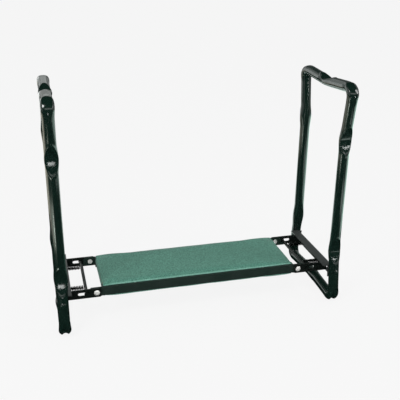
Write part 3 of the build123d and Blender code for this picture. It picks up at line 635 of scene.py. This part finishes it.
fold_share = add(tube_tree, "ShaderNodeMath", {0: toward, 1: given["Tube Radius"]},
                 operation="DIVIDE").outputs[0]
print("each point of the skin knows", len(facts), "facts of its bend")

# %% The crushed tube tree: spread, flattening and fold
# A fold is an ellipse on the skin, deepest in its middle; a power under 1 gives it a crisp rim. It lies
# on the folded side only, and fades out towards the tube's flanks.
SPOON_POWER = 0.75
FLANK = 0.3

crush = add(tube_tree, "ShaderNodeMapRange", {0: distance, 1: 0.0, 2: facts["crush_reach"], 3: 1.0, 4: 0.0},
            interpolation_type="SMOOTHSTEP").outputs[0]
wider = add(tube_tree, "ShaderNodeMath", {0: side_share, 1: facts["spread"]}, operation="MULTIPLY").outputs[0]
wider = add(tube_tree, "ShaderNodeMath", {0: wider, 1: crush}, operation="MULTIPLY").outputs[0]
flatter = add(tube_tree, "ShaderNodeMath", {0: fold_share, 1: facts["flatten"]},
              operation="MULTIPLY").outputs[0]
flatter = add(tube_tree, "ShaderNodeMath", {0: flatter, 1: crush}, operation="MULTIPLY").outputs[0]

along = add(tube_tree, "ShaderNodeMath", {0: distance, 1: facts["fold_reach"]}, operation="DIVIDE").outputs[0]
along = add(tube_tree, "ShaderNodeMath", {0: along, 1: 2.0}, operation="POWER").outputs[0]
across = add(tube_tree, "ShaderNodeMath", {0: sideways, 1: facts["fold_width"]},
             operation="DIVIDE").outputs[0]
across = add(tube_tree, "ShaderNodeMath", {0: across, 1: across}, operation="MULTIPLY").outputs[0]
ellipse = add(tube_tree, "ShaderNodeMath", {0: along, 1: across}, operation="ADD").outputs[0]
spoon = add(tube_tree, "ShaderNodeMath", {0: 1.0, 1: ellipse},
            operation="SUBTRACT", use_clamp=True).outputs[0]
spoon = add(tube_tree, "ShaderNodeMath", {0: spoon, 1: SPOON_POWER}, operation="POWER").outputs[0]
facing = add(tube_tree, "ShaderNodeMapRange", {0: fold_share, 1: 0.0, 2: FLANK, 3: 0.0, 4: 1.0},
             interpolation_type="SMOOTHSTEP").outputs[0]
deep = add(tube_tree, "ShaderNodeMath", {0: facts["fold_depth"], 1: spoon}, operation="MULTIPLY").outputs[0]
deep = add(tube_tree, "ShaderNodeMath", {0: deep, 1: facing}, operation="MULTIPLY").outputs[0]
print("crush and fold:", len(tube_tree.nodes), "nodes so far")

# %% The crushed tube tree: lip and finish
# The metal pushed out of a dent stands up round it as a low lip. Its place is told by the ellipse's own
# measure, which is 0 in the middle of the fold and 1 on its rim.
LIP_FROM, LIP_TOP, LIP_TO = 0.85, 1.1, 1.45

lip = facts["lip"]
for inner, outer, start, end in ((LIP_FROM, LIP_TOP, 0.0, 1.0), (LIP_TOP, LIP_TO, 1.0, 0.0)):
    slope = add(tube_tree, "ShaderNodeMapRange", {0: ellipse, 1: inner, 2: outer, 3: start, 4: end},
                interpolation_type="SMOOTHSTEP").outputs[0]
    lip = add(tube_tree, "ShaderNodeMath", {0: lip, 1: slope}, operation="MULTIPLY").outputs[0]
lip = add(tube_tree, "ShaderNodeMath", {0: lip, 1: facing}, operation="MULTIPLY").outputs[0]
deep = add(tube_tree, "ShaderNodeMath", {0: deep, 1: lip}, operation="SUBTRACT").outputs[0]
inward = add(tube_tree, "ShaderNodeMath", {0: flatter, 1: deep}, operation="ADD").outputs[0]
inward = add(tube_tree, "ShaderNodeMath", {0: inward, 1: -1.0}, operation="MULTIPLY").outputs[0]
push = add(tube_tree, "ShaderNodeVectorMath", {0: facts["fold_way"], "Scale": inward},
           operation="SCALE").outputs[0]
push_side = add(tube_tree, "ShaderNodeCombineXYZ", {"X": wider}).outputs[0]
offset = add(tube_tree, "ShaderNodeVectorMath", {0: push, 1: push_side}, operation="ADD").outputs[0]
crushed = add(tube_tree, "GeometryNodeSetPosition", {"Geometry": skin, "Offset": offset}).outputs[0]
smooth = add(tube_tree, "GeometryNodeSetShadeSmooth", {0: crushed}).outputs[0]
real = add(tube_tree, "GeometryNodeRealizeInstances", {0: smooth}).outputs[0]
coated = add(tube_tree, "GeometryNodeSetMaterial", {"Geometry": real, "Material": given["Finish"]}).outputs[0]
add(tube_tree, "NodeGroupOutput", {0: coated})
print(tube_tree.name, "tree:", len(tube_tree.nodes), "nodes")

# %% Bend the four tubes
RING_STEP, RING_SIDES = 2.0, 72

for side, name in ((-1, "left"), (1, "right")):
    for loop, half in (("handle", HANDLE_HALF), ("foot", FOOT_HALF)):
        tube = loop_points(f"{name}_{loop}_loop", half, side)
        run_tree(tube, tube_tree, {"Tube Radius": TUBE_R * MM, "Step": RING_STEP * MM, "Sides": RING_SIDES,
                                   "Finish": tube_coat})
        settle(tube, f"{name}_frame", "tube_paint", f"{name}_{loop}_tube")
        print(tube.name, len(tube.data.polygons), "faces")

# %% [markdown]
# ## Springs
# A pair of compression springs at each end pushes the lock rod into the hooks of the rails. A ring could be
# copied turn by turn, but real wire is one unbroken spiral, so a node tree winds a spiral and sweeps the wire
# along it.

# %% The spring tree
COIL_POINTS, WIRE_SIDES = 40, 12

spring_tree, given = start_tree("Compression spring", {
    "Turns": "length", "Coil Radius": "length", "Wire Radius": "length", "Length": "length",
    "Place": "vector", "Finish": "finish"})
coil = add(spring_tree, "GeometryNodeCurveSpiral",
           {"Resolution": COIL_POINTS, "Rotations": given["Turns"], "Start Radius": given["Coil Radius"],
            "End Radius": given["Coil Radius"], "Height": given["Length"]}).outputs[0]
wire = add(spring_tree, "GeometryNodeCurvePrimitiveCircle",
           {"Resolution": WIRE_SIDES, "Radius": given["Wire Radius"]}).outputs[0]
wound = add(spring_tree, "GeometryNodeCurveToMesh",
            {"Curve": coil, "Profile Curve": wire, "Fill Caps": True}).outputs[0]
laid = add(spring_tree, "GeometryNodeTransform",
           {"Geometry": wound, "Rotation": (0, pi / 2, 0), "Translation": given["Place"]}).outputs[0]
smooth = add(spring_tree, "GeometryNodeSetShadeSmooth", {0: laid}).outputs[0]
real = add(spring_tree, "GeometryNodeRealizeInstances", {0: smooth}).outputs[0]
oiled = add(spring_tree, "GeometryNodeSetMaterial",
            {"Geometry": real, "Material": given["Finish"]}).outputs[0]
add(spring_tree, "NodeGroupOutput", {0: oiled})
print(spring_tree.name, "tree:", len(spring_tree.nodes), "nodes")

# %% Wind the springs
SPRING_SEAT_X, SPRING_ROD_X = 287.4, 243.4
SPRING_Y, PIVOT_Z = 44.6, 70.5
SPRING_OD, SPRING_WIRE, SPRING_TURNS = 9.0, 1.8, 13

spring_length = SPRING_SEAT_X - SPRING_ROD_X - SPRING_WIRE
for side, name in ((-1, "left"), (1, "right")):
    for row, row_name in ((-1, "front"), (1, "rear")):
        low_x = min(side * SPRING_SEAT_X, side * SPRING_ROD_X) + SPRING_WIRE / 2
        spring = bpy.data.objects.new(f"{name}_{row_name}_coil", bpy.data.meshes.new("coil"))
        run_tree(spring, spring_tree, {
            "Turns": float(SPRING_TURNS), "Coil Radius": (SPRING_OD - SPRING_WIRE) / 2 * MM,
            "Wire Radius": SPRING_WIRE / 2 * MM, "Length": spring_length * MM,
            "Place": (low_x * MM, row * SPRING_Y * MM, PIVOT_Z * MM), "Finish": spring_wire})
        settle(spring, f"{name}_frame", "spring_steel", f"{name}_{row_name}_spring")
        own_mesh(spring)
        print(spring.name, len(spring.data.polygons), "faces")

# %% [markdown]
# ## Pressed sheet: rails, arms and cross angles
# These are cut and folded from sheet steel. Their solids have the right shape but knife edges, and a real
# pressed edge is a little round, so it catches a line of light. They could be drawn again from plates,
# but the CAD mesh has every slot and hole already. So each one is a copy of its CAD mesh with the loose
# triangles merged and a narrow bevel on its edges.

# %% Bevelled sheet pieces
RAIL_EDGE, BRACKET_EDGE = 0.3, 0.4
MERGE_DISTANCE = 0.005
FLAT_ANGLE, SHARP_ANGLE = radians(0.5), radians(50)
BEVEL_STEPS = 2


def pressed_sheet(node, edge_mm, finish, body, slot):
    """Copy of a CAD node with its edges rounded."""
    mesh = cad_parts[node].data.copy()
    shape = bmesh.new()
    shape.from_mesh(mesh)
    bmesh.ops.remove_doubles(shape, verts=shape.verts, dist=MERGE_DISTANCE * MM)
    bmesh.ops.dissolve_limit(shape, angle_limit=FLAT_ANGLE, verts=shape.verts, edges=shape.edges)
    shape.to_mesh(mesh)
    shape.free()
    mesh.materials.clear()
    mesh.materials.append(finish)
    piece = bpy.data.objects.new(f"{node}_sheet", mesh)
    bevel = piece.modifiers.new("Pressed edge", "BEVEL")
    bevel.width = edge_mm * MM
    bevel.segments = BEVEL_STEPS
    bevel.limit_method = "ANGLE"
    bevel.angle_limit = SHARP_ANGLE
    return settle(piece, body, slot, node)


# The cross angles' coat carries a painted sheen.
BRACKET_FINISHES = {"cross_angle": angle_coat_with_painted_sheen, "front_arm": bracket_coat, "rear_arm": bracket_coat}
sheets = []
for node in ("front_rail", "rear_rail"):
    sheets.append(pressed_sheet(node, RAIL_EDGE, rail_coat, "seat", "rail_paint"))
for name in ("left", "right"):
    for node, finish in BRACKET_FINISHES.items():
        sheets.append(pressed_sheet(f"{name}_{node}", BRACKET_EDGE, finish, f"{name}_frame", "bracket_paint"))
print(len(sheets), "pressed sheet pieces")

# %% [markdown]
# ## Pads
# The kneeling pad is a thin slab of foam in a woven cover that is stretched over it and caught under its
# edges. A rounded box would look like a tile. Stretched cloth over foam is what the cloth solver is for:
# a slab a little smaller than the pad is blown up against its fixed under side, which gives the soft
# crown and edges. The sitting pad on the under side is the same pad turned over.

# %% Foam slab
PAD_HALF_LENGTH, PAD_HALF_WIDTH = 208.0, 69.5
SLAB_INSET_X, SLAB_INSET_Y = 1.0, 0.8
SLAB_HALF_THICKNESS, SLAB_MIDDLE_RISE = 1.9, 2.2
RAIL_TOP_Z = 81.0
PAD_CELL = 4.0
END_RUN, END_DROP = 26.0, 2.6
FOAM_WAVE, FOAM_WAVE_LENGTH = 0.5, 38.0
SIDE_FACING = 0.7
SAME_PLACE = 1e-6


def pad_slab():
    """Flat slab of square cells, a little smaller than the pad, with slightly uneven foam."""
    half = Vector((PAD_HALF_LENGTH - SLAB_INSET_X, PAD_HALF_WIDTH - SLAB_INSET_Y, SLAB_HALF_THICKNESS))
    shape = bmesh.new()
    bmesh.ops.create_cube(shape, size=2.0, matrix=Matrix.Diagonal((*half, 1.0)))
    for axis in range(3):
        cells = max(2, round(2 * half[axis] / PAD_CELL))
        edges = [e for e in shape.edges if abs(e.verts[0].co[axis] - e.verts[1].co[axis]) > SAME_PLACE]
        bmesh.ops.subdivide_edges(shape, edges=edges, cuts=cells - 1, use_grid_fill=True)
    shape.normal_update()
    for vertex in shape.verts:
        into_end = max(0.0, abs(vertex.co.x) - PAD_HALF_LENGTH + END_RUN) / END_RUN
        unevenness = FOAM_WAVE * noise.noise(vertex.co / FOAM_WAVE_LENGTH)
        rise = unevenness - END_DROP * into_end**2 if vertex.co.z > 0 else 0.0
        vertex.co = (vertex.co + Vector((0, 0, RAIL_TOP_Z + SLAB_MIDDLE_RISE + rise))) * MM
    for face in shape.faces:
        face.smooth = True
        # The front and rear sides take the paler cloth, a painted highlight along the edge.
        face.material_index = 1 if abs(face.normal.y) > SIDE_FACING else 0
    mesh = bpy.data.meshes.new("kneeling_pad_cover")
    shape.to_mesh(mesh)
    shape.free()
    mesh.materials.append(cover_cloth)
    mesh.materials.append(edge_highlight_cloth)
    return bpy.data.objects.new("kneeling_pad_cover", mesh)


pad = pad_slab()
print("foam slab of", len(pad.data.polygons), "cells")

# %% Blow up the pad
PRESSURE, CLOTH_STEPS = 4.0, 20
FIXED_DEPTH = 0.5
SWELL_CAP = 2.5


def blow_up(pad):
    """Cloth pressure swells the pad's upper side; its under side stays put."""
    bpy.context.scene.collection.objects.link(pad)
    rest = [v.co.copy() for v in pad.data.vertices]
    low = min(co.z for co in rest)
    fixed = pad.vertex_groups.new(name="under side")
    fixed.add([k for k, co in enumerate(rest) if co.z < low + FIXED_DEPTH * MM], 1.0, "REPLACE")
    cloth = pad.modifiers.new("Cover", "CLOTH")
    cloth.settings.vertex_group_mass = "under side"
    cloth.settings.use_pressure = True
    cloth.settings.uniform_pressure_force = PRESSURE
    cloth.settings.effector_weights.gravity = 0.0
    scene = bpy.context.scene
    for step in range(1, CLOTH_STEPS + 1):
        scene.frame_set(step)
    swollen = bpy.data.meshes.new_from_object(pad.evaluated_get(bpy.context.evaluated_depsgraph_get()))
    pad.modifiers.remove(cloth)
    scene.frame_set(1)
    cap = SWELL_CAP * MM
    for vertex, before, after in zip(pad.data.vertices, rest, swollen.vertices):
        move = after.co - before
        vertex.co = before + (move if move.length <= cap else move * (cap / move.length))
    bpy.data.meshes.remove(swollen)
    return pad


blow_up(pad)
print("pad top at", round(max(v.co.z for v in pad.data.vertices) / MM, 1), "mm")

# %% Turn a copy over and cover both faces of the seat
under_mesh = pad.data.copy()
under_mesh.transform(Matrix.Translation((0, 0, 2 * PIVOT_Z * MM)) @ Matrix.Diagonal((1, 1, -1, 1)))
under_mesh.flip_normals()
under_pad = bpy.data.objects.new("sitting_pad_cover", under_mesh)
for piece, node in ((pad, "kneeling_pad"), (under_pad, "sitting_pad")):
    soft = piece.modifiers.new("Soft", "SUBSURF")
    soft.levels = soft.render_levels = 1
    settle(piece, "seat", "pad_cover", node)
    print(piece.name, len(piece.data.polygons), "faces before subdivision")

# %% [markdown]
# ## Cover over the board's ends
# At each end the cover goes down over the end of the board to the under side. The cloth solver could
# stretch it there too, but it is a narrow strip pulled tight over a bare edge, so a small grid of faces
# with a slight belly is enough.

# %% Stretch the end strips
BOARD_END_X = 206.2
STRIP_HALF_WIDTH, STRIP_LOW_Z, STRIP_HIGH_Z = 67.6, 61.7, 79.3
STRIP_BELLY = 1.7
EVEN_SHARE, UNEVEN_SHARE, UNEVEN_LENGTH = 0.85, 0.15, 24.0
ALONG_CELLS, UP_CELLS = 48, 8

for side, name in ((-1, "left"), (1, "right")):
    shape = bmesh.new()
    rows = []
    for k in range(UP_CELLS + 1):
        z = STRIP_LOW_Z + (STRIP_HIGH_Z - STRIP_LOW_Z) * k / UP_CELLS
        row = []
        for j in range(ALONG_CELLS + 1):
            y = STRIP_HALF_WIDTH * (2 * j / ALONG_CELLS - 1)
            fullness = EVEN_SHARE + UNEVEN_SHARE * noise.noise(Vector((side, y / UNEVEN_LENGTH, 0)))
            belly = STRIP_BELLY * sin(pi * k / UP_CELLS) * fullness
            row.append(shape.verts.new((side * (BOARD_END_X + belly) * MM, y * MM, z * MM)))
        rows.append(row)
    for low, high in zip(rows, rows[1:]):
        for j in range(ALONG_CELLS):
            corners = (low[j], low[j + 1], high[j + 1], high[j])
            shape.faces.new(corners if side > 0 else corners[::-1]).smooth = True
    mesh = bpy.data.meshes.new(f"{name}_end_cover")
    shape.to_mesh(mesh)
    shape.free()
    mesh.materials.append(cover_cloth)
    strip = bpy.data.objects.new(f"{name}_end_cover", mesh)
    settle(strip, "seat", "pad_cover")
    print(strip.name, len(mesh.polygons), "faces")

# %% [markdown]
# ## Finishes on the small CAD pieces
# Rivets, washers, pins, clips, screws and the rods are right as solids. They could be copied and bevelled
# as the sheet was, but at their size that would hardly show, so they stay and only get their finish.

# %% Paint the small pieces
# Pivot rivets, washers and screws get the zinc that is painted near white as a reflection.
SIDE_FINISHES = {"pivot_rivets": zinc_with_painted_reflection, "pivot_washers": zinc_with_painted_reflection, "leg_rivets": tube_coat,
                 "guide_pins": bracket_coat, "lock_rod": bracket_coat, "rod_clips": bracket_coat}

finishes = {"board_screws": zinc_with_painted_reflection, "seat_board": board_wood}
for name in ("left", "right"):
    for node, finish in SIDE_FINISHES.items():
        finishes[f"{name}_{node}"] = finish
for node, finish in finishes.items():
    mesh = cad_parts[node].data
    mesh.materials.clear()
    mesh.materials.append(finish)
print(len(finishes), "CAD nodes painted")
